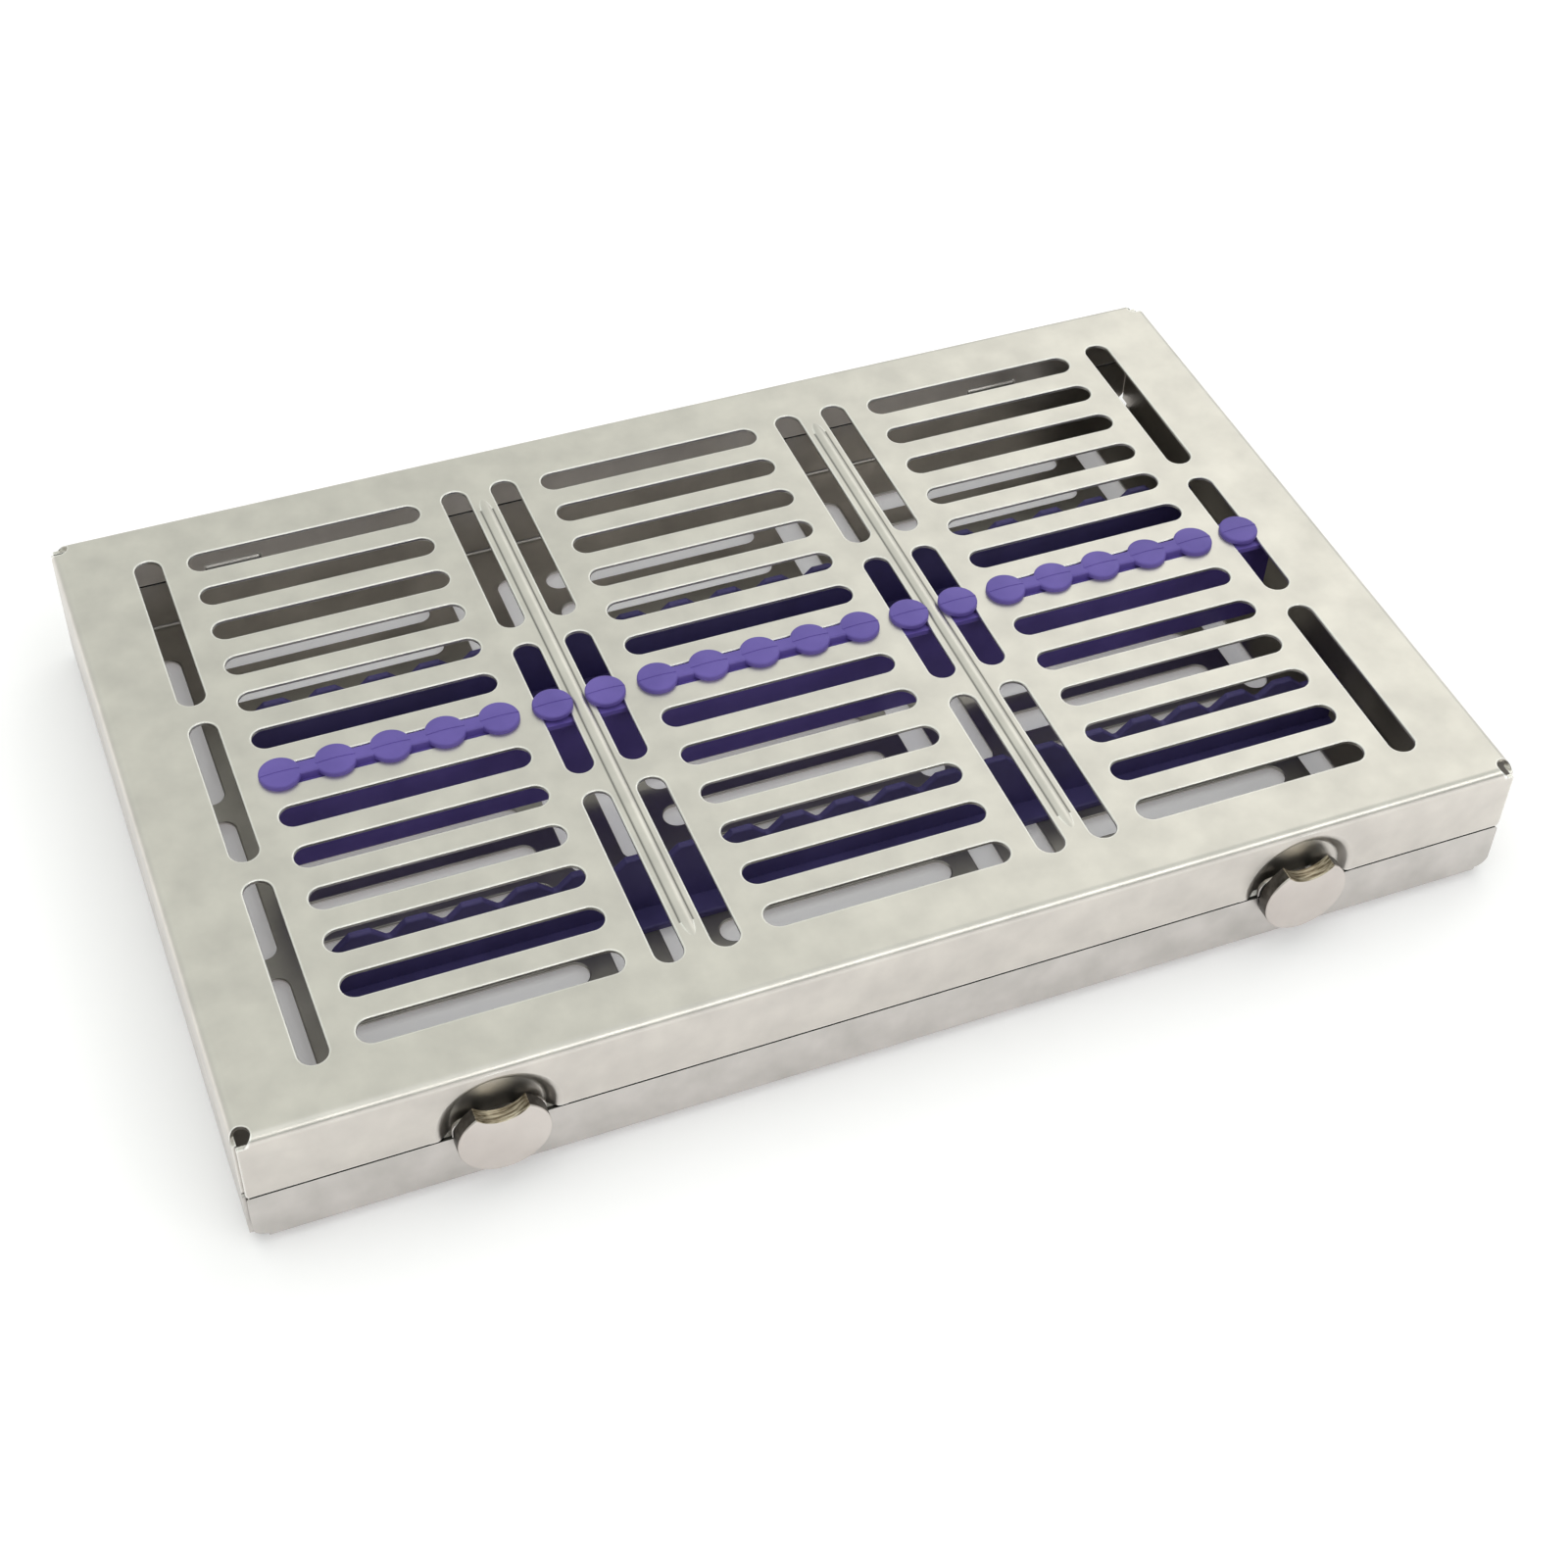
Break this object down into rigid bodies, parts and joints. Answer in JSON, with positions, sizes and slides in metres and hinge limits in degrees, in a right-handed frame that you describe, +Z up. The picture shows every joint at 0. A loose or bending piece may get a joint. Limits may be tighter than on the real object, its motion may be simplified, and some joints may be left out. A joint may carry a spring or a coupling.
{
  "type": "dental instrument cassette",
  "caption": "Slotted steel tray and hinged lid with silicone instrument combs, a hold-down strip and two sprung front latches, for sterilising hand instruments.",
  "frame": {"origin": "on the table, under the middle of the tray", "axes": "+X along the length, +Y towards the hinges, +Z up"},
  "size_m": [0.286, 0.1899, 0.0361],
  "materials": {
    "tray_steel": "satin electropolished stainless sheet",
    "lid_steel": "satin electropolished stainless sheet",
    "knob_steel": "cast stainless, polished edges, rough scallop",
    "latch_steel": "plain stainless pressing",
    "pin_steel": "drawn stainless wire",
    "spring_steel": "spring wire",
    "rivet_steel": "plain rivet heads",
    "strip_silicone": "matt purple moulded silicone",
    "rail_silicone": "matt purple moulded silicone"
  },
  "bodies": {
    "base": {"base_tray": "tray_steel", "front_rail": "rail_silicone", "rear_rail": "rail_silicone", "hinge_pin_left": "pin_steel", "hinge_pin_right": "pin_steel", "latch_bracket_left": "latch_steel", "latch_bracket_right": "latch_steel", "latch_pin_left": "pin_steel", "latch_pin_right": "pin_steel", "latch_spring_left": "spring_steel", "latch_spring_right": "spring_steel", "bracket_rivets": "rivet_steel"},
    "lid": {"lid_cover": "lid_steel", "hold_down_strip": "strip_silicone"},
    "latch_left": {"latch_knob_left": "knob_steel", "latch_arm_left": "latch_steel", "latch_washer_left": "latch_steel"},
    "latch_right": {"latch_knob_right": "knob_steel", "latch_arm_right": "latch_steel", "latch_washer_right": "latch_steel"}
  },
  "joints": [
    {"name": "lid_hinge", "type": "hinge", "parent": "base", "child": "lid", "pos_m": [0, 0.09255, 0.01635], "axis": [-1, 0, 0], "range_deg": [0, 177]},
    {"name": "latch_left_tip", "type": "hinge", "parent": "base", "child": "latch_left", "pos_m": [-0.091, -0.08655, 0.00495], "axis": [1, 0, 0], "range_deg": [0, 8], "stiffness_Nm_per_rad": 0.1, "springref_deg": -20.05, "deforming": ["latch_spring_left"]},
    {"name": "latch_right_tip", "type": "hinge", "parent": "base", "child": "latch_right", "pos_m": [0.091, -0.08655, 0.00495], "axis": [1, 0, 0], "range_deg": [0, 8], "stiffness_Nm_per_rad": 0.1, "springref_deg": -20.05, "deforming": ["latch_spring_right"]}
  ]
}
